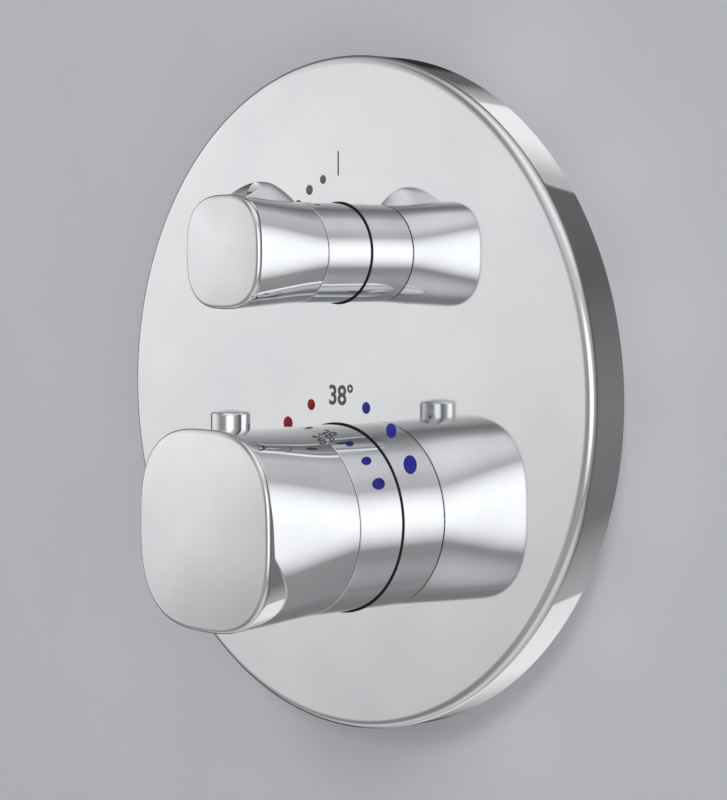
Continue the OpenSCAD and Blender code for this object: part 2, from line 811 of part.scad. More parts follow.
// Turned headwork shell: disc tube with windows, thread, hexagon and neck for the sleeve
module headwork_housing() {
    color(brass) at_flow() difference() {
        union() {
            rod(headwork_tube_r, seat_out + air, headwork_thread_out + cut);
            rod(headwork_r, headwork_thread_out, neck_out);
            translate([0, 0, neck_out]) cylinder(r = hex_r, h = hex_t, $fn = 6);
            rod(headwork_neck_r, hex_front, headwork_front);
        }
        rod(disc_d / 2 + fit, seat_out, headwork_shoulder_out);
        rod(flow_spindle_r + run, headwork_shoulder_out - cut, headwork_front + cut);
        translate([-headwork_window_w / 2, -headwork_tube_r - cut, spindle_base_out - headwork_window_l / 2])
            cube([headwork_window_w, 2 * (headwork_tube_r + cut), headwork_window_l]);
        tube(headwork_r + cut, headwork_r - 2 * oring_wire_r,
             headwork_oring_out - oring_groove_w / 2, headwork_oring_out + oring_groove_w / 2);
        rod(flow_spindle_r + 2 * small_oring_r + 2 * fit, flow_oring_out - small_oring_r - fit,
            flow_oring_out + small_oring_r + fit);
    }
}

module headwork_oring() {
    color(rubber) at_flow() torus(headwork_r - oring_wire_r + oring_lift, oring_wire_r, headwork_oring_out);
}

module headwork_seal() {
    color(rubber) at_flow() tube(bottom_seal_r, bottom_seal_bore_r, seat_out, fixed_disc_out);
}

module fixed_disc() {
    color(ceramic) at_flow() difference() {
        rod(disc_d / 2, fixed_disc_out, moving_disc_out);
        for (side = [-1, 1]) translate([side * disc_hole_place, 0, 0])
            rod(disc_hole_r, fixed_disc_out - cut, moving_disc_out + cut);
    }
}

// Notched disc; its notches stand square to the fixed disc's holes while the valve is shut
module moving_disc() {
    color(ceramic) at_flow() difference() {
        rod(disc_d / 2 - run, moving_disc_out, spindle_base_out);
        for (side = [-1, 1]) rotate([0, 0, 90 * side]) {
            translate([disc_hole_place, 0, 0])
                rod(disc_hole_r, moving_disc_out - cut, spindle_base_out + cut);
            translate([disc_hole_place, -disc_hole_r, moving_disc_out - cut])
                cube([disc_d / 2, 2 * disc_hole_r, disc_t + 2 * cut]);
        }
        translate([-disc_d / 2 - cut, -tongue_w / 2 - fit, spindle_base_out - tongue_t - fit])
            cube([disc_d + 2 * cut, tongue_w + 2 * fit, tongue_t + fit + cut]);
    }
}

// Shaft with a snap ring groove, and the spline at its tip
module spindle_shaft(r, z0, groove_out, spline_out, tip) {
    difference() {
        rod(r, z0, spline_out + cut);
        tube(r + cut, r - clip_bite, groove_out, groove_out + clip_groove_t);
    }
    translate([0, 0, spline_out]) linear_extrude(tip - spline_out)
        polygon(spline(r - fit, r - spline_tooth_h));
}

module flow_spindle() {
    color(brass) at_flow() {
        rod(flow_spindle_base_r, spindle_base_out, spindle_base_out + spindle_base_t);
        translate([-tongue_l / 2, -tongue_w / 2, spindle_base_out - tongue_t])
            cube([tongue_l, tongue_w, tongue_t + cut]);
        spindle_shaft(flow_spindle_r, spindle_base_out + cut, headwork_front + fit, flow_spline_out,
                      flow_spindle_tip);
    }
}

module flow_spindle_oring() {
    color(rubber) at_flow()
        torus(flow_spindle_r + small_oring_r + oring_lift, small_oring_r, flow_oring_out);
}

// Snap ring with its mouth open to one side
module snap_ring(shaft_r, z) {
    bore_r = shaft_r - clip_bite + fit;
    difference() {
        tube(shaft_r + clip_reach, bore_r, z, z + clip_t);
        translate([0, -bore_r * clip_mouth_share, z - cut])
            cube([shaft_r + clip_reach + cut, 2 * bore_r * clip_mouth_share, clip_t + 2 * cut]);
    }
}
module flow_spindle_clip() { color(steel) at_flow() snap_ring(flow_spindle_r, headwork_front + 2 * fit); }
module temp_spindle_clip() { color(steel) at_temp() snap_ring(temp_spindle_r, cart_nose_front + 2 * fit); }

// Cartridge housing: O-ring grooves, hot and cold rings of ports, key slots and a nose
module cartridge_housing() {
    color(black_plastic) at_temp() difference() {
        union() {
            rod(cart_r, cart_rear, cart_front);
            rod(cart_neck_r, cart_front - cut, neck_out);
            rod(cart_nose_r, neck_out - cut, cart_nose_front);
        }
        for (groove = [hot_groove, cold_groove])
            tube(cart_r + cut, cart_r - water_groove_t, groove[0], groove[1]);
        for (z = cart_oring_outs)
            tube(cart_r + cut, cartridge_d / 2 - 2 * oring_wire_r - 2 * fit,
                 z - oring_groove_w / 2, z + oring_groove_w / 2);
        rod(cart_bore_r, cart_rear - cut, cart_shoulder_out);
        rod(nut_bore_r, cart_shoulder_out - cut, spindle_shoulder_out);
        rod(temp_spindle_r + run, spindle_shoulder_out - cut, cart_nose_front + cut);
        for (side = [0, 180]) rotate([0, 0, side])
            translate([0, -nut_key_w / 2 - key_slot_side, cart_shoulder_out - cut])
                cube([key_slot_r, nut_key_w + 2 * key_slot_side, key_slot_front - cart_shoulder_out + cut]);
        for (z = [hot_port_out, cold_port_out]) translate([0, 0, z]) around(cart_port_count)
            rotate([0, 90, 0]) rod(cart_port_r, shuttle_r, cart_r);
    }
}

// Slotted gland nut that clamps the cartridge into the body
module cartridge_nut() {
    color(brass) at_temp() difference() {
        tube(gland_r, gland_bore_r, cart_front + fit, gland_front);
        for (turn = [0, 90]) rotate([0, 0, turn])
            translate([-gland_r - cut, -gland_slot_w / 2, gland_front - gland_slot_t])
                cube([2 * gland_r + 2 * cut, gland_slot_w, gland_slot_t + cut]);
    }
}

module cartridge_orings() {
    color(rubber) at_temp() for (z = cart_oring_outs)
        torus(cartridge_d / 2 - oring_wire_r - fit, oring_wire_r, z);
}

module spring_retainer() {
    color(brass) at_temp() difference() {
        tube(cart_bore_r - run, retainer_hole_r, cart_rear, retainer_front);
        around(flow_hole_count) translate([retainer_flow_place, 0, 0])
            rod(retainer_flow_r, cart_rear - cut, retainer_front + cut);
    }
}

// Sliding sleeve that opens one seat as it closes the other
module shuttle() {
    color(steel) at_temp() difference() {
        union() {
            tube(shuttle_r, shuttle_r - shuttle_wall, shuttle_rear, shuttle_front);
            tube(shuttle_land_r, shuttle_r - shuttle_wall, shuttle_land[0], shuttle_land[1]);
            rod(shuttle_r - shuttle_wall / 2, shuttle_web[0], shuttle_web[1]);
        }
        rod(wax_r + fit, shuttle_web[0] - cut, shuttle_web[1] + cut);
        around(flow_hole_count) translate([web_hole_place, 0, 0])
            rod(web_hole_r, shuttle_web[0] - cut, shuttle_web[1] + cut);
    }
}

// Thermostat element: wax body, flange, guide and pin
module wax_element() {
    flange = shuttle_web[1];
    color(copper) at_temp() {
        rod(wax_r, wax_rear, flange + cut);
        rod(wax_flange_r, flange, flange + wax_flange_t);
        rod(wax_neck_r, flange + wax_flange_t - cut, wax_neck_out);
        rod(wax_pin_r, wax_neck_out - cut, cup_out - fit);
    }
}

module return_spring() {
    color(steel) at_temp()
        coil(return_coil_r, return_wire_r, retainer_front + fit, shuttle_web[0] - fit, return_turns);
}

// Nut that the spindle's thread moves in and out, held from turning by its two keys
module regulating_nut() {
    color(brass) at_temp() difference() {
        union() {
            rod(nut_r, nut_out, nut_out + nut_l);
            translate([-nut_key_r, -nut_key_w / 2, nut_out]) cube([2 * nut_key_r, nut_key_w, nut_l]);
        }
        rod(nut_cavity_r, nut_out - cut, over_spring_end);
        rod(nut_web_hole_r, over_spring_end - cut, over_spring_end + nut_web_t + cut);
        rod(thread_r + run, over_spring_end + nut_web_t, nut_out + nut_l + cut);
        rod(over_clip_r, nut_out + over_clip_setback - over_clip_groove_side,
            nut_out + over_clip_setback + over_clip_t + over_clip_groove_side);
    }
}

module overtravel_cup() { color(steel) at_temp() rod(cup_r, cup_out, cup_out + cup_t); }

module overtravel_spring() {
    color(steel) at_temp()
        coil(over_coil_r, over_wire_r, cup_out + cup_t + fit, over_spring_end - fit, over_turns);
}

module overtravel_clip() {
    z = nut_out + over_clip_setback;
    color(steel) at_temp() difference() {
        tube(over_clip_r - fit, over_clip_bore_r, z, z + over_clip_t);
        translate([0, -over_clip_bore_r * clip_mouth_share, z - cut])
            cube([over_clip_r, 2 * over_clip_bore_r * clip_mouth_share, over_clip_t + 2 * cut]);
    }
}

module temp_spindle() {
    color(brass) at_temp() {
        rod(thread_r, thread_rear, collar_rear + cut);
        rod(collar_r, collar_rear, collar_front);
        spindle_shaft(temp_spindle_r, collar_front - cut, cart_nose_front + fit, temp_spline_out,
                      temp_spindle_tip);
    }
}

// Check valve cartridge: seat at its mouth and a spider that guides the poppet's stem
module check_housing(side) {
    color(white_plastic) at_inlet(side) difference() {
        rod(pocket_r - fit, check_in, check_end);
        rod(pocket_r - check_wall, check_in - cut, check_in + check_spider_in);
        rod(pocket_r - check_wall, check_spider_end, check_end - check_seat_t);
        rod(check_seat_r, check_end - check_seat_t - cut, check_end + cut);
        rod(poppet_stem_r + run, check_in, check_spider_end + cut);
        around(check_holes) translate([check_hole_place, 0, 0])
            rod(check_hole_r, check_in, check_spider_end + cut);
    }
}
module check_poppet(side) {
    color(black_plastic) at_inlet(side) {
        rod(poppet_r, poppet_back, poppet_face);
        rod(poppet_stem_r, poppet_tip, poppet_back + cut);
    }
}
module check_spring(side) {
    color(steel) at_inlet(side)
        coil(check_coil_r, check_wire_r, check_spider_end + fit, poppet_back - fit, check_turns);
}

// Perforated disc in a rim, in front of the check valve
module strainer(side) {
    start = check_end + air;
    color(steel) at_inlet(side) {
        tube(strainer_r, strainer_r - strainer_rim, start, start + strainer_t);
        difference() {
            rod(strainer_r - strainer_rim / 2, start, start + mesh_t);
            rod(mesh_hole_r, start - cut, start + mesh_t + cut);
            for (ring = [1, 2]) around(6 * ring) translate([mesh_pitch * ring, 0, 0])
                rod(mesh_hole_r, start - cut, start + mesh_t + cut);
        }
    }
}

module hot_check_housing() { check_housing(-1); }
module hot_check_poppet() { check_poppet(-1); }
module hot_check_spring() { check_spring(-1); }
module hot_strainer() { strainer(-1); }
module cold_check_housing() { check_housing(1); }
module cold_check_poppet() { check_poppet(1); }
module cold_check_spring() { check_spring(1); }
module cold_strainer() { strainer(1); }

escutcheon_plate();
plate_gasket();
plate_carrier();
carrier_screws();
flow_sleeve();
temp_sleeve();
flow_seal();
temp_seal();
flow_handle();
flow_insert();
flow_grub_screw();
temp_handle();
temp_insert();
temp_grub_screw();
safety_button();
button_spring();
stop_pawl();
stop_ring();
valve_body();
headwork_housing();
headwork_oring();
headwork_seal();
fixed_disc();
moving_disc();
flow_spindle();
flow_spindle_oring();
flow_spindle_clip();
cartridge_housing();
cartridge_nut();
cartridge_orings();
spring_retainer();
shuttle();
wax_element();
return_spring();
regulating_nut();
overtravel_cup();
overtravel_spring();
overtravel_clip();
temp_spindle();
temp_spindle_clip();
hot_check_housing();
hot_check_poppet();
hot_check_spring();
hot_strainer();
cold_check_housing();
cold_check_poppet();
cold_check_spring();
cold_strainer();
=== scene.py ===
from math import cos, pi, radians, sin

import bpy
from mathutils import Matrix, Vector


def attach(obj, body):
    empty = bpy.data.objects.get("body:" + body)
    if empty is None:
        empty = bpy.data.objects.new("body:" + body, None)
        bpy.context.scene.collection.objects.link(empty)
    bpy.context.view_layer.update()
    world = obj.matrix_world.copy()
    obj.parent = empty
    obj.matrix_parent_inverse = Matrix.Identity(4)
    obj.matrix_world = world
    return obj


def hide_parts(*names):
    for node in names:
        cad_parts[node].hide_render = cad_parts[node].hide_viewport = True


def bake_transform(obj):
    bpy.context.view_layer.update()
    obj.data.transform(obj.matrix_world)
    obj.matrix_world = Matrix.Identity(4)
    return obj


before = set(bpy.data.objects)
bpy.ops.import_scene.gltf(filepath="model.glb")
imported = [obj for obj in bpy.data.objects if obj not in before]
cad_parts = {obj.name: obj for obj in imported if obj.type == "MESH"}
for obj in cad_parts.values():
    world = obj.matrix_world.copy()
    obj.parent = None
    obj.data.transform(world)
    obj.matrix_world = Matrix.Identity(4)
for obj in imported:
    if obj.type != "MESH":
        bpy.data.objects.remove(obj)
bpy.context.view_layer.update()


# Valve body: one sand casting of brass, let into the wall, with bored chambers and three threaded
# mouths. The casting skin is dull and a little grainy, with darker blotches from the mould.
MM = 0.001
RAMP_SHARES = (0.35, 0.65)
SPREAD_SHARES = (0.3, 0.7)


def linear(code):
    """sRGB hex to the linear colour that a shader takes."""
    shares = [int(code[i:i + 2], 16) / 255 for i in (0, 2, 4)]
    return (*[s / 12.92 if s <= 0.04045 else ((s + 0.055) / 1.055) ** 2.4 for s in shares], 1)


def add(tree, kind, inputs=(), **settings):
    """Adds a node with its settings, and gives each input a value or a link."""
    node = tree.nodes.new(kind)
    for name, value in settings.items():
        setattr(node, name, value)
    for name, value in dict(inputs).items():
        if isinstance(value, bpy.types.NodeSocket):
            tree.links.new(value, node.inputs[name])
        else:
            node.inputs[name].default_value = value
    return node


def grain(tree, size_mm, stretch=(1, 1, 1)):
    """Noise with blotches about size_mm across, on the piece's own coordinates."""
    place = add(tree, "ShaderNodeTexCoord").outputs["Object"]
    mapped = add(tree, "ShaderNodeMapping", {"Vector": place, "Scale": stretch}).outputs["Vector"]
    return add(tree, "ShaderNodeTexNoise",
               {"Vector": mapped, "Scale": 1 / (size_mm * MM), "Detail": 3}).outputs["Fac"]


def finish(name, dark, light, blotch_mm, rough, bump_mm, bump_size_mm, stretch=(1, 1, 1), **sockets):
    """A surface that varies between two colours and two roughnesses, with a fine relief."""
    material = bpy.data.materials.new(name)
    material.use_nodes = True
    tree = material.node_tree
    shader = tree.nodes["Principled BSDF"]
    for socket, value in sockets.items():
        shader.inputs[socket.replace("_", " ")].default_value = value
    blotch = grain(tree, blotch_mm, stretch)
    ramp = add(tree, "ShaderNodeValToRGB", {"Fac": blotch})
    for element, place, colour in zip(ramp.color_ramp.elements, RAMP_SHARES, (dark, light)):
        element.position, element.color = place, linear(colour)
    tree.links.new(ramp.outputs["Color"], shader.inputs["Base Color"])
    spread = add(tree, "ShaderNodeMapRange",
                 {"Value": blotch, "From Min": SPREAD_SHARES[0], "From Max": SPREAD_SHARES[1],
                  "To Min": rough[0], "To Max": rough[1]})
    tree.links.new(spread.outputs["Result"], shader.inputs["Roughness"])
    relief = add(tree, "ShaderNodeBump", {"Height": grain(tree, bump_size_mm, stretch), "Strength": 1,
                                          "Distance": bump_mm * MM})
    tree.links.new(relief.outputs["Normal"], shader.inputs["Normal"])
    return material


def dress(material, *names):
    """Gives the solids with these names a finish."""
    for name in names:
        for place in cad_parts[name].material_slots:
            place.material = material


# Brass as it leaves the sand: yellow-brown, dull, with grains of half a millimetre
cast_brass = finish("sand_cast_brass", "8f6c34", "c29c58", 9, (0.34, 0.55), 0.05, 0.7, Metallic=1)
dress(cast_brass, "valve_body")


# Check valves and strainers: moulded acetal cartridges with a nylon poppet, a steel spring and a
# punched steel strainer, pushed into the two inlets from outside.
TEMP_DOWN = 31.5
WELD = 0.001
COIL_ANGLE = 50
# Acetal: milky white and slightly waxy
acetal = finish("moulded_acetal", "d9d8d1", "ecebe5", 6, (0.32, 0.44), 0.01, 1.5, IOR=1.48,
                Subsurface_Weight=0.05)
# Glass-filled nylon: nearly black, dull, with the fine tooth of the fibres
black_nylon = finish("glass_filled_nylon", "1c1d1f", "2a2b2e", 3, (0.42, 0.6), 0.02, 0.4, IOR=1.53)
# Drawn and punched stainless: bright grey with a satin sheen
stainless = finish("plain_stainless_steel", "9a9c9f", "c3c5c8", 2, (0.2, 0.34), 0.006, 0.3, Metallic=1)
dress(acetal, "hot_check_housing", "cold_check_housing")
dress(black_nylon, "hot_check_poppet", "cold_check_poppet")
dress(stainless, "hot_strainer", "cold_strainer")


def sprung(node):
    """A smoothed copy of a spring in stainless steel, shown in place of the spring's own solid."""
    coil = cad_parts[node].copy()
    coil.data = coil.data.copy()
    coil.name = coil.data.name = node + "_coil"
    bpy.context.collection.objects.link(coil)
    coil.parent = None
    bpy.ops.object.select_all(action="DESELECT")
    coil.select_set(True)
    bpy.context.view_layer.objects.active = coil
    bpy.ops.object.mode_set(mode="EDIT")
    bpy.ops.mesh.select_all(action="SELECT")
    bpy.ops.mesh.remove_doubles(threshold=WELD * MM)
    bpy.ops.mesh.normals_make_consistent(inside=False)
    bpy.ops.object.mode_set(mode="OBJECT")
    bpy.ops.object.shade_smooth_by_angle(angle=radians(COIL_ANGLE))
    coil.data.materials.clear()
    coil.data.materials.append(stainless)
    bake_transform(coil)
    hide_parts(node)


for side, way in (("hot", -1), ("cold", 1)):
    sprung(side + "_check_spring")


# Thermostatic cartridge: a glass-filled nylon shell with O-rings, held by a turned brass nut. In it
# the copper wax element pushes a steel shuttle between the hot and the cold seat.
LATHE_STRETCH = (1, 14, 1)
# Brass off the lathe: bright yellow, with fine rings round the axis of the valve
turned_brass = finish("turned_brass", "c9a24f", "e0be70", 5, (0.14, 0.24), 0.008, 0.5, LATHE_STRETCH,
                      Metallic=1)
# Drawn copper: orange-brown with faint draw marks
copper = finish("drawn_copper", "a85f3c", "cc8458", 4, (0.2, 0.34), 0.008, 0.6, Metallic=1)
# Nitrile and EPDM rubber: black with a grey bloom, matt
rubber = finish("moulded_rubber", "0d0d0e", "1b1b1d", 2, (0.5, 0.7), 0.015, 0.3, IOR=1.52)
dress(black_nylon, "cartridge_housing")
dress(turned_brass, "cartridge_nut", "spring_retainer", "regulating_nut", "temp_spindle")
dress(stainless, "shuttle", "overtravel_cup", "overtravel_spring", "overtravel_clip",
      "temp_spindle_clip")
dress(copper, "wax_element")
dress(rubber, "cartridge_orings")
sprung("return_spring")


# Ceramic headwork: a turned brass shell that presses two lapped alumina discs on a rubber seal. The
# handle turns the outer disc through the spindle.
# Alumina: ivory, lapped to a low sheen
alumina = finish("lapped_alumina", "e6e1d2", "f4f0e6", 5, (0.12, 0.2), 0.002, 0.4, IOR=1.76)
dress(turned_brass, "headwork_housing", "flow_spindle")
dress(alumina, "fixed_disc", "moving_disc")
dress(rubber, "headwork_oring", "headwork_seal", "flow_spindle_oring")
dress(stainless, "flow_spindle_clip")


# Carrier, its two cross-head screws and the foam ring: the carrier is moulded in black nylon and
# screwed to two posts of the body, and the plate snaps over its fingers on to the foam.
# Closed-cell foam: black, dead matt, with pores just big enough to see
foam = finish("closed_cell_foam", "161617", "2b2b2d", 1.5, (0.8, 0.95), 0.08, 0.4)
dress(black_nylon, "plate_carrier")
dress(stainless, "carrier_screws")
dress(foam, "plate_gasket")


# Escutcheon plate: brass sheet spun into a shallow cup, polished and chromed, with two round holes.
# The plating is a near mirror, so the handles show in it, softer the further they stand off.
FLOW_UP = 35.5
PLATE_R = 85
PLATE_CORE_R = 10
PLATE_FRONT = 11
PLATE_WALL = 2
PLATE_EDGE_R = 2.4
REBATE_R = 84
REBATE_DEPTH = 1
FLOW_SLEEVE_R = 12.5
TEMP_SLEEVE_R = 23.75
HOLE_GAP = 0.45
SUPPORT = 0.05


def loft(name, centre, rings, sides=128, along=(0, -1, 0)):
    """A circle extruded and resized from ring to ring along an axis, and squared where a ring asks.

    Each ring is (distance, half width, half height, power); power 2 is an ellipse. Both ends are
    closed flat.
    """
    bpy.ops.object.select_all(action="DESELECT")
    centre, along = Vector(centre), Vector(along)
    upright = along.z != 0
    rings = [ring if len(ring) == 4 else (ring[0], ring[1], ring[1], 2) for ring in rings]
    bpy.ops.mesh.primitive_circle_add(vertices=sides, radius=rings[0][1] * MM,
                                      location=(centre + along * rings[0][0]) * MM,
                                      rotation=(0 if upright else pi / 2, 0, 0))
    piece = bpy.context.object
    piece.name = piece.data.name = name
    bpy.ops.object.transform_apply()
    bpy.ops.object.mode_set(mode="EDIT")
    bpy.ops.mesh.select_all(action="SELECT")
    for before, after in zip(rings, rings[1:]):
        bpy.ops.mesh.extrude_region_move(
            TRANSFORM_OT_translate={"value": along * (after[0] - before[0]) * MM})
        wide = after[1] / before[1]
        bpy.ops.transform.resize(value=(wide, wide, 1) if upright else (wide, 1, wide),
                                 center_override=(centre + along * after[0]) * MM)
    bpy.ops.object.mode_set(mode="OBJECT")
    for count, (distance, half_w, half_h, power) in enumerate(rings):
        for vertex in piece.data.vertices[count * sides:(count + 1) * sides]:
            spot = vertex.co / MM - centre
            shares = Vector((spot.x, spot.y if upright else spot.z)) / half_w
            x, y = [abs(s) ** (2 / power) * (1 if s > 0 else -1) for s in shares]
            x, y = x * half_w, y * half_h
            flat = Vector((x, y, 0)) if upright else Vector((x, 0, y))
            vertex.co = (centre + along * distance + flat) * MM
    bpy.ops.object.mode_set(mode="EDIT")
    bpy.ops.mesh.select_all(action="SELECT")
    bpy.ops.mesh.remove_doubles(threshold=WELD * MM)
    bpy.ops.mesh.select_all(action="DESELECT")
    bpy.ops.mesh.select_non_manifold(extend=False)
    bpy.ops.mesh.edge_face_add()
    bpy.ops.mesh.select_all(action="SELECT")
    bpy.ops.mesh.normals_make_consistent(inside=False)
    bpy.ops.object.mode_set(mode="OBJECT")
    return piece


def carve(piece, tool, operation="DIFFERENCE"):
    """Cuts the tool from the piece, or joins it on, and removes the tool."""
    modifier = piece.modifiers.new("cut", "BOOLEAN")
    modifier.operation, modifier.object, modifier.solver = operation, tool, "EXACT"
    bpy.ops.object.select_all(action="DESELECT")
    piece.select_set(True)
    bpy.context.view_layer.objects.active = piece
    bpy.ops.object.modifier_apply(modifier="cut")
    bpy.data.objects.remove(tool)


def close(piece, material, slot, body, *nodes, angle=32):
    """Gives a piece its shading, finish and body, and hides the nodes that it stands for."""
    bpy.ops.object.select_all(action="DESELECT")
    piece.select_set(True)
    bpy.context.view_layer.objects.active = piece
    bpy.ops.object.shade_smooth_by_angle(angle=radians(angle))
    piece.data.materials.clear()
    piece.data.materials.append(material)
    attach(piece, body)
    if nodes:
        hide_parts(*nodes)


def arc(centre_out, centre_r, radius, start, end, steps):
    """Rings round a quarter turn; 0 degrees is away from the axis and 90 along it."""
    turns = [radians(start + (end - start) * i / steps) for i in range(steps + 1)]
    return [(centre_out + radius * sin(a), centre_r + radius * cos(a)) for a in turns]


plate = loft("escutcheon_plate_shell", (0, 0, 0), [
    (PLATE_FRONT - PLATE_WALL, PLATE_CORE_R), (PLATE_FRONT - PLATE_WALL, PLATE_R - PLATE_WALL),
    (REBATE_DEPTH, PLATE_R - PLATE_WALL), (REBATE_DEPTH, REBATE_R), (0, REBATE_R), (0, PLATE_R),
    (SUPPORT, PLATE_R), *arc(PLATE_FRONT - PLATE_EDGE_R, PLATE_R - PLATE_EDGE_R, PLATE_EDGE_R, 0, 90, 12),
    (PLATE_FRONT, PLATE_R - PLATE_EDGE_R - SUPPORT), (PLATE_FRONT, PLATE_CORE_R)], sides=256)
for up, radius in ((FLOW_UP, FLOW_SLEEVE_R), (-TEMP_DOWN, TEMP_SLEEVE_R)):
    hole = radius + HOLE_GAP
    carve(plate, loft("hole", (0, 0, up), [(0, hole), (2 * PLATE_FRONT, hole)], sides=192))
# Polished chrome plate: bluish silver, with a faint haze from the polishing mop
plate_chrome = finish("polished_chrome_plate", "e3e4e6", "e9eaeb", 30, (0.035, 0.05), 0.00002, 6,
                      Metallic=1)
close(plate, plate_chrome, "chrome_plate", "valve", "escutcheon_plate")


# Seal rings: two black rubber lips between the plate and the sleeves. They show as a thin black line
# where each sleeve comes out of the plate.
SEAL_GAP = 0.05
SEAL_W = 0.4
SEAL_FLANGE = 3
SEAL_BACK = 7.5
SEAL_STEP = 8.95
SEAL_FRONT = 11.2
SEAL_EDGE = 0.12
for name, up, radius in (("flow_seal", FLOW_UP, FLOW_SLEEVE_R), ("temp_seal", -TEMP_DOWN, TEMP_SLEEVE_R)):
    inner, outer = radius + SEAL_GAP, radius + SEAL_W
    seal = loft(name + "_lip", (0, 0, up), [
        (SEAL_BACK, inner), (SEAL_BACK, radius + SEAL_FLANGE), (SEAL_STEP, radius + SEAL_FLANGE),
        (SEAL_STEP, outer), (SEAL_FRONT - SEAL_EDGE, outer), (SEAL_FRONT, outer - SEAL_EDGE),
        (SEAL_FRONT, inner + SEAL_EDGE), (SEAL_FRONT - SEAL_EDGE, inner), (SEAL_BACK, inner)], sides=192)
    close(seal, rubber, "black_rubber", "valve", name)


# Sleeves: two turned and chromed brass tubes that cover the necks of the body and end in the fine
# joint line where the handles begin to turn. They are mirror bright.
SLEEVE_WALL = 1.4
JOINT_OUT = 25.3
SLEEVE_EDGE = 0.2
FLOW_SLEEVE_BACK, TEMP_SLEEVE_BACK = 3.3, -8
# Chrome plate over turned brass: a mirror, with no haze that shows
sleeve_chrome = finish("turned_chrome_plate", "e3e4e6", "e9eaeb", 12, (0.02, 0.03), 0.00001, 3, Metallic=1)
for name, up, radius, back in (("flow_sleeve", FLOW_UP, FLOW_SLEEVE_R, FLOW_SLEEVE_BACK),
                               ("temp_sleeve", -TEMP_DOWN, TEMP_SLEEVE_R, TEMP_SLEEVE_BACK)):
    bore = radius - SLEEVE_WALL
    sleeve = loft(name + "_tube", (0, 0, up), [
        (back, bore), (back, radius), (back + SUPPORT, radius), (JOINT_OUT - SLEEVE_EDGE - SUPPORT, radius),
        *arc(JOINT_OUT - SLEEVE_EDGE, radius - SLEEVE_EDGE, SLEEVE_EDGE, 0, 90, 5),
        (JOINT_OUT, bore), (back, bore)], sides=256)
    close(sleeve, sleeve_chrome, "chrome_plate", "valve", name)


# Stop ring, latch, inserts and grub screws: what couples the handles to their spindles. The ring and
# the splined inserts are moulded in acetal, the latch, the screws and the spring are plain steel.
BUTTON_OUT = 46.4
dress(acetal, "stop_ring", "flow_insert", "temp_insert")
dress(stainless, "stop_pawl", "flow_grub_screw", "temp_grub_screw")
sprung("button_spring")


# Flow handle: cast zinc, polished and chromed. It opens from the round joint to a soft square face,
# and a thumb fin with a sloping front stands on its top. A grub screw goes in from below.
HANDLE_OUT = 25.6
BEND_SHARE = 0.25
FACE_EDGE_R = 1.2
SQUARE_POWER = 2.8
FLANK_STEPS = 30
EDGE_STEPS = 8
FACE_STEPS = 14
MIDDLE_SHARE = 0.3


def flank(joint_r, half_w, half_h, face_out):
    """Rings from the round joint to the edge of the squared face."""
    length = face_out - FACE_EDGE_R - HANDLE_OUT
    rings = []
    for i in range(FLANK_STEPS + 1):
        s = i / FLANK_STEPS
        k = (1 - BEND_SHARE) * s + BEND_SHARE * s * s * (3 - 2 * s)
        rings.append((HANDLE_OUT + length * s, joint_r + (half_w - joint_r) * k,
                      joint_r + (half_h - joint_r) * k, 2 + (SQUARE_POWER - 2) * k))
    return rings


def face(half_w, half_h, face_out, crown):
    """Rings round the edge of the face and over its crown to the middle."""
    rings = []
    for i in range(1, EDGE_STEPS + 1):
        a = radians(90 * i / EDGE_STEPS)
        inset = FACE_EDGE_R * (1 - cos(a))
        rings.append((face_out - FACE_EDGE_R * (1 - sin(a)), half_w - inset, half_h - inset, SQUARE_POWER))
    for i in range(1, FACE_STEPS + 1):
        s = 1 - i / (FACE_STEPS + MIDDLE_SHARE)
        rings.append((face_out + crown * (1 - s * s), (half_w - FACE_EDGE_R) * s,
                      (half_h - FACE_EDGE_R) * s, SQUARE_POWER))
    return rings


FLOW_FACE_W, FLOW_FACE_H = 13.9, 13.8
FLOW_FACE_OUT = 49.2
FLOW_CROWN = 0.72
FLOW_SPIGOT_R = 10.8
FLOW_BORE_R = 6.95
FLOW_BORE_END = 38.3
SPIGOT_OUT = 19.6
# Chrome plate over polished zinc: a mirror, a shade softer in patches that the mop has left
handle_chrome = finish("cast_chrome_plate", "e3e4e6", "e9eaeb", 16, (0.02, 0.035), 0.00002, 5, Metallic=1)
flow_handle = loft("flow_handle_cast", (0, 0, FLOW_UP), [
    (FLOW_BORE_END, FLOW_BORE_R), (SPIGOT_OUT, FLOW_BORE_R), (SPIGOT_OUT, FLOW_SPIGOT_R),
    (HANDLE_OUT, FLOW_SPIGOT_R), *flank(FLOW_SLEEVE_R, FLOW_FACE_W, FLOW_FACE_H, FLOW_FACE_OUT),
    *face(FLOW_FACE_W, FLOW_FACE_H, FLOW_FACE_OUT, FLOW_CROWN)], sides=256)

# Fin: pointed arches along the top of the handle, each (out, half width, crest above the axis). A
# curved slope cuts their front, and a box cuts them off below the skin.
FIN_ROOT = 11
FIN_POWER = 1.25
FIN_RINGS = [(48, 4.9, 17.19), (44, 4.62, 17.19), (41, 4.47, 17.19), (38.5, 4.41, 17.19),
             (36.5, 4.4, 17.19), (35, 4.4, 17.17), (33.8, 4.35, 17.05), (32.5, 4.3, 16.7),
             (30.7, 4.1, 15.95), (29, 3.8, 15.05), (27.8, 3.5, 14.2), (26.7, 3.0, 13.25),
             (25.75, 2.4, 12.4)]
FIN_FRONT_OUT, FIN_FRONT_UP = 44.15, 49.1
FIN_FRONT_L, FIN_FRONT_STEPS = 7.4, 14
FIN_FRONT_RISE, FIN_FRONT_SAG = 0.97, 0.0655
FIN_CUT_OUT, FIN_CUT_LOW, FIN_CUT_TOP, FIN_CUT_HALF = 52, 48.2, 56, 6
FIN_BOX, FIN_BOX_OUT = (12, 30, 10), 37
fin = loft("fin", (0, 0, FLOW_UP + FIN_ROOT),
           [(out, half, up - FIN_ROOT, FIN_POWER) for out, half, up in FIN_RINGS], sides=128)
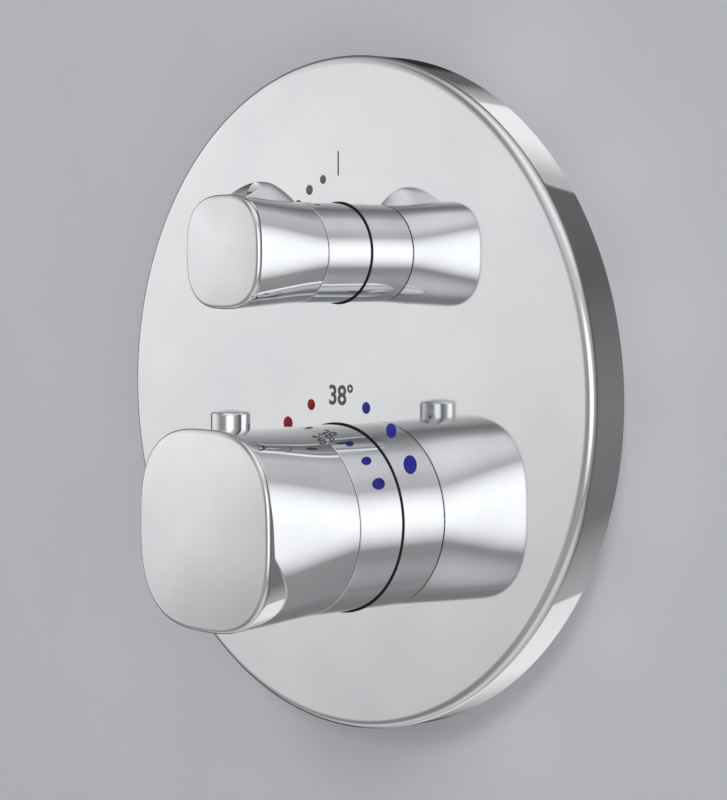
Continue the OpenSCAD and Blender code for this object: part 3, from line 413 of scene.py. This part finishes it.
runs = [FIN_FRONT_L * i / FIN_FRONT_STEPS for i in range(-1, FIN_FRONT_STEPS + 1)]
front_cut = [(FIN_FRONT_OUT - t, FIN_FRONT_UP + FIN_FRONT_RISE * t - FIN_FRONT_SAG * t * t) for t in runs]
front_cut += [(FIN_FRONT_OUT - FIN_FRONT_L, FIN_CUT_TOP), (FIN_CUT_OUT, FIN_CUT_TOP),
              (FIN_CUT_OUT, FIN_CUT_LOW)]
bpy.ops.object.select_all(action="DESELECT")
bpy.ops.mesh.primitive_circle_add(vertices=len(front_cut), radius=MM)
cutter = bpy.context.object
for vertex, (out, up) in zip(cutter.data.vertices, front_cut):
    vertex.co = Vector((-FIN_CUT_HALF, -out, up)) * MM
bpy.ops.object.mode_set(mode="EDIT")
bpy.ops.mesh.select_all(action="SELECT")
bpy.ops.mesh.edge_face_add()
bpy.ops.mesh.extrude_region_move(TRANSFORM_OT_translate={"value": (2 * FIN_CUT_HALF * MM, 0, 0)})
bpy.ops.mesh.select_all(action="SELECT")
bpy.ops.mesh.normals_make_consistent(inside=False)
bpy.ops.object.mode_set(mode="OBJECT")
carve(fin, cutter)
bpy.ops.mesh.primitive_cube_add(
    size=MM, location=(0, -FIN_BOX_OUT * MM, (FLOW_UP + FIN_ROOT - FIN_BOX[2] / 2) * MM), scale=FIN_BOX)
carve(fin, bpy.context.object)
carve(flow_handle, fin, "UNION")
GRUB_R = 2.05
FLOW_GRUB_OUT = 33.8
FLOW_GRUB_LOW, FLOW_GRUB_HIGH = -20, -6.4
carve(flow_handle, loft("grub_hole", (0, -FLOW_GRUB_OUT, FLOW_UP),
                        [(FLOW_GRUB_LOW, GRUB_R), (FLOW_GRUB_HIGH, GRUB_R)], sides=48, along=(0, 0, 1)))
close(flow_handle, handle_chrome, "chrome_plate", "flow_control", "flow_handle", angle=28)


# Temperature handle: the same casting, larger and hollow, with a boss for its insert. A guide under
# the skin carries the safety button, and a slot clears its latch.
TEMP_FACE_W, TEMP_FACE_H = 24.65, 24.55
TEMP_FACE_OUT = 55.6
TEMP_CROWN = 1.35
TEMP_WALL = 2.4
TEMP_CEILING = 52.6
TEMP_SPIGOT_R, TEMP_SPIGOT_BORE = 22.05, 20.05
TEMP_BOSS_R = 11.5
TEMP_BORE_R = 8.45
TEMP_BORE_END = 42.3
GUIDE_R, GUIDE_BORE = 7.1, 4.9
GUIDE_FLOOR, GUIDE_FLOOR_TOP, GUIDE_TOP = 15, 16.5, 23.35
GUIDE_CUT_LOW, GUIDE_CUT_HIGH = 14, 28
STEM_BORE = 2.06
inner_w, inner_h = TEMP_FACE_W - TEMP_WALL, TEMP_FACE_H - TEMP_WALL
temp_handle = loft("temp_handle_cast", (0, 0, -TEMP_DOWN), [
    (TEMP_BORE_END, TEMP_BORE_R), (SPIGOT_OUT, TEMP_BORE_R), (SPIGOT_OUT, TEMP_BOSS_R),
    (TEMP_CEILING, TEMP_BOSS_R), (TEMP_CEILING, inner_w, inner_h, SQUARE_POWER),
    (HANDLE_OUT + TEMP_WALL, TEMP_SLEEVE_R - TEMP_WALL), (HANDLE_OUT + TEMP_WALL, TEMP_SPIGOT_BORE),
    (SPIGOT_OUT, TEMP_SPIGOT_BORE), (SPIGOT_OUT, TEMP_SPIGOT_R), (HANDLE_OUT, TEMP_SPIGOT_R),
    *flank(TEMP_SLEEVE_R, TEMP_FACE_W, TEMP_FACE_H, TEMP_FACE_OUT),
    *face(TEMP_FACE_W, TEMP_FACE_H, TEMP_FACE_OUT, TEMP_CROWN)], sides=256)
carve(temp_handle, loft("guide", (0, -BUTTON_OUT, -TEMP_DOWN),
                        [(GUIDE_FLOOR, GUIDE_R), (GUIDE_TOP, GUIDE_R)], sides=96, along=(0, 0, 1)), "UNION")
carve(temp_handle, loft("button_bore", (0, -BUTTON_OUT, -TEMP_DOWN),
                        [(GUIDE_CUT_LOW, STEM_BORE), (GUIDE_FLOOR_TOP, STEM_BORE),
                         (GUIDE_FLOOR_TOP, GUIDE_BORE), (GUIDE_CUT_HIGH, GUIDE_BORE)],
                        sides=96, along=(0, 0, 1)))
TEMP_GRUB_OUT = 35
TEMP_GRUB_LOW, TEMP_GRUB_HIGH = -30, -8
carve(temp_handle, loft("grub_hole", (0, -TEMP_GRUB_OUT, -TEMP_DOWN),
                        [(TEMP_GRUB_LOW, GRUB_R), (TEMP_GRUB_HIGH, GRUB_R)], sides=48, along=(0, 0, 1)))
SLOT, SLOT_OUT = (7.6, 31.1, 15), 34.65
bpy.ops.mesh.primitive_cube_add(size=MM, location=(0, -SLOT_OUT * MM, (SLOT[2] / 2 - TEMP_DOWN) * MM),
                                scale=SLOT)
carve(temp_handle, bpy.context.object)
close(temp_handle, handle_chrome, "chrome_plate", "temperature_control", "temp_handle", angle=28)


# Safety button: a turned and chromed pin in the top of the temperature handle. It is pressed to turn
# past 38 degrees, and its stem carries the latch inside.
BUTTON_R = 4.8
BUTTON_TOP = 28.95
BUTTON_UNDER = 20.6
BUTTON_EDGE_R, BUTTON_EDGE_TURN = 0.9, 78
STEM_R = 2
STEM_END = 11.7
DOME_RISE = 0.5
DOME_R = BUTTON_R - BUTTON_EDGE_R
DOME_SHARES = (0.95, 0.8, 0.6, 0.4, 0.2, 0.05)
button = loft("safety_button_pin", (0, -BUTTON_OUT, -TEMP_DOWN), [
    (STEM_END, STEM_R), (BUTTON_UNDER, STEM_R), (BUTTON_UNDER, BUTTON_R),
    (BUTTON_UNDER + SUPPORT, BUTTON_R),
    *arc(BUTTON_TOP - DOME_RISE - BUTTON_EDGE_R, DOME_R, BUTTON_EDGE_R, 0, BUTTON_EDGE_TURN, 8),
    *[(BUTTON_TOP - DOME_RISE * s * s, DOME_R * s) for s in DOME_SHARES]], sides=128, along=(0, 0, 1))
close(button, sleeve_chrome, "chrome_plate", "button", "safety_button")


# Pad print: a line and three dots for the flow, and 38 degrees with red and blue dots for the
# temperature, printed on the plate in epoxy ink a few hundredths thick.
INK_T = 0.03


def ink(name, colour):
    """Epoxy pad-printing ink: flat colour, satin, with the faint grain of the pad."""
    return finish(name, colour, colour, 1.5, (0.45, 0.6), 0.002, 0.3, IOR=1.5, Specular_IOR_Level=0.25)


def spot(name, axis_up, radius, turn, diameter):
    """A dot at a radius and a turn from straight up, counter-clockwise."""
    turn = radians(turn)
    centre = (-radius * sin(turn), 0, axis_up + radius * cos(turn))
    half = diameter / 2
    return loft(name, centre, [(PLATE_FRONT - INK_T, half), (PLATE_FRONT + INK_T / 2, half),
                               (PLATE_FRONT + INK_T, half - INK_T)], sides=48)


def joined(name, pieces):
    """Makes one piece of the marks that are printed in one go."""
    bpy.ops.object.select_all(action="DESELECT")
    for piece in pieces:
        piece.select_set(True)
    bpy.context.view_layer.objects.active = pieces[0]
    bpy.ops.object.join()
    bpy.context.object.name = bpy.context.object.data.name = name
    return bpy.context.object


grey_ink = ink("grey_pad_print", "626467")
red_ink = ink("red_pad_print", "960c0c")
blue_ink = ink("blue_pad_print", "282a94")
LINE_W, LINE_LOW, LINE_HIGH = 0.5, 19.45, 25.6
bpy.ops.mesh.primitive_plane_add(size=MM, location=(0, -(PLATE_FRONT - INK_T) * MM,
                                                    (FLOW_UP + (LINE_LOW + LINE_HIGH) / 2) * MM),
                                 rotation=(pi / 2, 0, 0))
line = bpy.context.object
line.scale = (LINE_W, LINE_HIGH - LINE_LOW, 1)
bpy.ops.object.transform_apply()
bpy.ops.object.mode_set(mode="EDIT")
bpy.ops.mesh.extrude_region_move(TRANSFORM_OT_translate={"value": (0, -2 * INK_T * MM, 0)})
bpy.ops.mesh.select_all(action="SELECT")
bpy.ops.mesh.normals_make_consistent(inside=False)
bpy.ops.object.mode_set(mode="OBJECT")
# Dots: each (turn from straight up, diameter), growing away from the middle mark
FLOW_DOTS_R, TEMP_DOTS_R = 19.5, 30.1
FLOW_DOTS = ((17, 2.3), (34, 2.6), (51, 2.9))
HOT_DOTS = ((20, 2.9), (40, 3.6), (60, 4.6))
COLD_DOTS = ((-20, 3.0), (-40, 3.7), (-60, 4.65))
flow_dots = [spot("dot", FLOW_UP, FLOW_DOTS_R, turn, size) for turn, size in FLOW_DOTS]
close(joined("flow_marks", [line, *flow_dots]), grey_ink, None, "valve")
for name, dots, colour in (("hot_marks", HOT_DOTS, red_ink), ("cold_marks", COLD_DOTS, blue_ink)):
    printed = [spot("dot", -TEMP_DOWN, TEMP_DOTS_R, turn, size) for turn, size in dots]
    close(joined(name, printed), colour, None, "valve")
NUMBER_UP, NUMBER_RIGHT = 30.85, 1.0
NUMBER_SIZE, NUMBER_SWELL = 6.9, 0.16
NUMBER_WIDTH_SHARE = 0.98
bpy.ops.object.select_all(action="DESELECT")
bpy.ops.object.text_add()
number = bpy.context.object
number.data.body = "38°"
number.data.align_x, number.data.align_y = "CENTER", "CENTER"
number.data.size = NUMBER_SIZE * MM
number.data.offset = NUMBER_SWELL * MM
number.data.extrude = INK_T * MM
bpy.ops.object.convert(target="MESH")
number.name = number.data.name = "temperature_number"
number.data.transform(Matrix.Translation(Vector((NUMBER_RIGHT, -PLATE_FRONT, NUMBER_UP - TEMP_DOWN)) * MM)
                      @ Matrix.Rotation(pi / 2, 4, "X") @ Matrix.Diagonal((NUMBER_WIDTH_SHARE, 1, 1, 1)))
close(number, grey_ink, None, "valve")


# Wall and floor, which aren't part of the valve: a painted wall with a round opening behind the
# plate, and a plain pale floor below it.
WALL_HOLE_R = 80
WALL_NEAR, WALL_HALF = 200, 2600
FLOOR_DOWN = 900
# Emulsion and screed: both pale, cool and matt, with a relief too fine to see from here
wall_paint = finish("matt_wall_paint", "bfc1c5", "c1c3c7", 60, (0.7, 0.8), 0.01, 1.5)
floor_paint = finish("pale_floor_screed", "d8d9db", "dcdddf", 90, (0.6, 0.75), 0.02, 3)
bpy.ops.object.select_all(action="DESELECT")
bpy.ops.mesh.primitive_circle_add(vertices=256, radius=WALL_HOLE_R * MM, rotation=(pi / 2, 0, 0))
wall = bpy.context.object
wall.name = "wall"
bpy.ops.object.transform_apply()
bpy.ops.object.mode_set(mode="EDIT")
for ratio in (WALL_NEAR / WALL_HOLE_R, WALL_HALF / WALL_NEAR):
    bpy.ops.mesh.extrude_region_move(TRANSFORM_OT_translate={"value": (0, 0, 0)})
    bpy.ops.transform.resize(value=(ratio, 1, ratio), center_override=(0, 0, 0))
bpy.ops.mesh.select_all(action="SELECT")
bpy.ops.mesh.flip_normals()
bpy.ops.object.mode_set(mode="OBJECT")
wall.data.materials.append(wall_paint)
bpy.ops.mesh.primitive_plane_add(size=2 * WALL_HALF * MM, location=(0, 0, -FLOOR_DOWN * MM))
floor = bpy.context.object
floor.name = "floor"
floor.data.materials.append(floor_paint)
for sheet in (wall, floor):
    sheet.visible_glossy = False


# Light: a pale studio, whose sky is lighter above and darker behind the wall. Round soft panels stand
# at both sides, above, below and behind for the chrome to mirror, and dark ones give it depth. The
# lamps light the wall and the matt pieces, and no chrome mirrors them.
SKY_COLOUR, SKY_LEAST = "fefeff", 0.03
WALL_BLEND, BEHIND_SHARE = 0.3, 0.2
# Sky: each (height from straight down to straight up, level)
DOME = ((-1.0, 0.30), (-0.7, 0.36), (-0.5, 0.38), (-0.3, 0.42), (-0.12, 0.45), (0.0, 0.48), (0.3, 0.60),
        (0.65, 0.74), (1.0, 0.62))
# Panels: each (direction, degrees to its full part, degrees to its edge, level added or taken)
PANELS = (((0.72, -0.69, 0.0), 3, 26, 1.12), ((-0.85, -0.5, 0.22), 6, 39, 0.5),
          ((-0.5, -0.6, 0.6), 10, 36, -0.5), ((0, -1, 0), 4, 24, -0.16),
          ((-0.6, -0.6, -0.55), 8, 28, -0.12), ((-0.18, 0.73, 0.66), 5, 18, 0.48),
          ((-0.065, 0.735, 0.675), 14.3, 15.1, 0.4), ((-0.12, 0.735, -0.665), 5, 38, 0.42),
          ((-0.3, 0.72, -0.625), 27.2, 28, 0.45), ((-0.75, 0.62, -0.2), 8, 40, -0.4),
          ((0.6, 0.75, -0.28), 14, 42, 0.12), ((0.35, -0.1, 0.93), 24, 42, 0.35),
          ((0.35, -0.1, -0.93), 24, 42, 0.4), ((-0.5, 0, -0.86), 12, 30, 0.35))
world = bpy.data.worlds.new("studio")
bpy.context.scene.world = world
world.use_nodes = True
sky = world.node_tree
ray = add(sky, "ShaderNodeTexCoord").outputs["Generated"]
ray_parts = add(sky, "ShaderNodeSeparateXYZ", {"Vector": ray})
height = add(sky, "ShaderNodeMapRange", {"Value": ray_parts.outputs["Z"], "From Min": -1, "From Max": 1})
dome = add(sky, "ShaderNodeValToRGB", {"Fac": height.outputs["Result"]})
for i, (z, shade) in enumerate(DOME):
    elements = dome.color_ramp.elements
    element = elements[i] if i < 2 else elements.new((z + 1) / 2)
    element.position, element.color = (z + 1) / 2, (shade, shade, shade, 1)
front = add(sky, "ShaderNodeMapRange", {"Value": ray_parts.outputs["Y"], "From Min": -WALL_BLEND,
                                        "From Max": WALL_BLEND, "To Min": 1, "To Max": BEHIND_SHARE})
level = add(sky, "ShaderNodeMath", {0: dome.outputs["Color"], 1: front.outputs["Result"]},
            operation="MULTIPLY")
for aim, inner, outer, power in PANELS:
    facing = add(sky, "ShaderNodeVectorMath", {0: ray, 1: Vector(aim).normalized()},
                 operation="DOT_PRODUCT")
    panel = add(sky, "ShaderNodeMapRange",
                {"Value": facing.outputs["Value"], "From Min": cos(radians(outer)),
                 "From Max": cos(radians(inner)), "To Max": power})
    level = add(sky, "ShaderNodeMath", {0: level.outputs["Value"], 1: panel.outputs["Result"]},
                operation="ADD")
level = add(sky, "ShaderNodeMath", {0: level.outputs["Value"], 1: SKY_LEAST}, operation="MAXIMUM")
sky.nodes["Background"].inputs["Color"].default_value = linear(SKY_COLOUR)
sky.links.new(level.outputs["Value"], sky.nodes["Background"].inputs["Strength"])


def lamp(name, place, size, watts, aim=(0, 0, 0)):
    """A square soft lamp that points at the middle of the plate, or at another place."""
    data = bpy.data.lights.new(name, "AREA")
    data.size, data.energy = size, watts
    holder = bpy.data.objects.new(name, data)
    bpy.context.collection.objects.link(holder)
    holder.location = place
    holder.rotation_euler = (Vector(aim) - Vector(place)).to_track_quat("-Z", "Y").to_euler()
    holder.visible_glossy = holder.visible_camera = False


# Lamps: each (name, place in metres, side in metres, watts)
LAMPS = (("key", (0.1, -1.3, 0.9), 0.5, 6), ("behind_left", (-0.7, 1.1, 0.6), 0.8, 12),
         ("behind_right", (0.9, 1.0, 0.2), 0.8, 8), ("fill", (0.9, -0.6, -0.6), 0.5, 1.3))
for name, place, size, watts in LAMPS:
    lamp(name, place, size, watts)
# Rim glow: the light that the plate's rim throws on the wall beside it
GLOW_R, GLOW_OUT, GLOW_SIZE, GLOW_WATTS = 0.096, 0.018, 0.02, 0.0004
GLOW_TURNS = range(-55, 56, 22)
for turn in GLOW_TURNS:
    x, z = GLOW_R * cos(radians(turn)), GLOW_R * sin(radians(turn))
    lamp("rim_glow", (x, -GLOW_OUT, z), GLOW_SIZE, GLOW_WATTS, aim=(x, 0, z))


# Camera: a long lens a little above the middle of the plate, 47 degrees round to the right. Its place
# and lens are those that make the plate's outline fit the photograph.
CAMERA_PLACE = (0.4204, -0.3950, 0.0297)
CAMERA_TURN, CAMERA_RISE = radians(46.95), radians(3.15)
FOCAL_PX, IMAGE_H = 2252.5, 800
CLIP_NEAR, CLIP_FAR = 0.01, 20
back = Vector((sin(CAMERA_TURN) * cos(CAMERA_RISE), -cos(CAMERA_TURN) * cos(CAMERA_RISE),
               sin(CAMERA_RISE)))
side = Vector((cos(CAMERA_TURN), sin(CAMERA_TURN), 0))
axes = Matrix((side, back.cross(side), back)).transposed()
camera_data = bpy.data.cameras.new("camera")
camera_data.lens = FOCAL_PX * camera_data.sensor_width / IMAGE_H
camera_data.clip_start, camera_data.clip_end = CLIP_NEAR, CLIP_FAR
camera = bpy.data.objects.new("camera", camera_data)
bpy.context.collection.objects.link(camera)
camera.matrix_world = Matrix.Translation(CAMERA_PLACE) @ axes.to_4x4()
bpy.context.scene.camera = camera
bpy.context.scene.view_settings.view_transform = "Standard"
